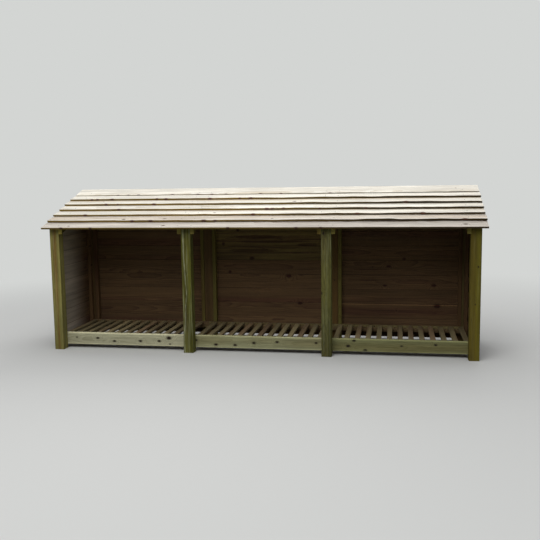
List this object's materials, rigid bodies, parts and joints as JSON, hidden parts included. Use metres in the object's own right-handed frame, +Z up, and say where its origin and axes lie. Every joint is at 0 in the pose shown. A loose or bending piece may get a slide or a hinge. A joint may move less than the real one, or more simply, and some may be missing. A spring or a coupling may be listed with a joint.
{
  "type": "three-bay log store",
  "caption": "Open-fronted garden log store with posts, slatted floors, lapped back and side boards and a lean-to roof of lapped boards.",
  "frame": {"origin": "on the ground, in the middle of the plan that the roof covers", "axes": "+X along the length, to the right seen from the open front; -Y towards the open front; +Z up"},
  "size_m": [3.35, 0.7868, 1.257],
  "materials": {
    "post_timber": "planed treated softwood, green-olive",
    "frame_timber": "planed treated softwood",
    "plinth_boards": "planed treated softwood, pale green",
    "floor_slats": "planed treated softwood",
    "wall_boards": "sawn treated softwood",
    "roof_boards": "sawn softwood, pale"
  },
  "bodies": {
    "root": {"front_post_1": "post_timber", "front_post_2": "post_timber", "front_post_3": "post_timber", "front_post_4": "post_timber", "back_post_1": "post_timber", "back_post_2": "post_timber", "back_post_3": "post_timber", "back_post_4": "post_timber", "rafter_1": "frame_timber", "rafter_2": "frame_timber", "rafter_3": "frame_timber", "rafter_4": "frame_timber", "rafter_5": "frame_timber", "rafter_6": "frame_timber", "back_upright_1": "frame_timber", "back_upright_2": "frame_timber", "back_upright_3": "frame_timber", "back_upright_4": "frame_timber", "back_upright_5": "frame_timber", "back_upright_6": "frame_timber", "plinth_board_1": "plinth_boards", "plinth_board_2": "plinth_boards", "plinth_board_3": "plinth_boards", "rear_rail_1": "frame_timber", "rear_rail_2": "frame_timber", "rear_rail_3": "frame_timber", "floor_slats_1": "floor_slats", "floor_slats_2": "floor_slats", "floor_slats_3": "floor_slats", "back_wall_1": "wall_boards", "back_wall_2": "wall_boards", "back_wall_3": "wall_boards", "front_ledgers": "frame_timber", "rear_ledgers": "frame_timber", "left_wall": "wall_boards", "right_wall": "wall_boards", "left_battens": "frame_timber", "right_battens": "frame_timber", "roof_board_1": "roof_boards", "roof_board_2": "roof_boards", "roof_board_3": "roof_boards", "roof_board_4": "roof_boards", "roof_board_5": "roof_boards", "roof_board_6": "roof_boards", "roof_board_7": "roof_boards"}
  },
  "joints": []
}
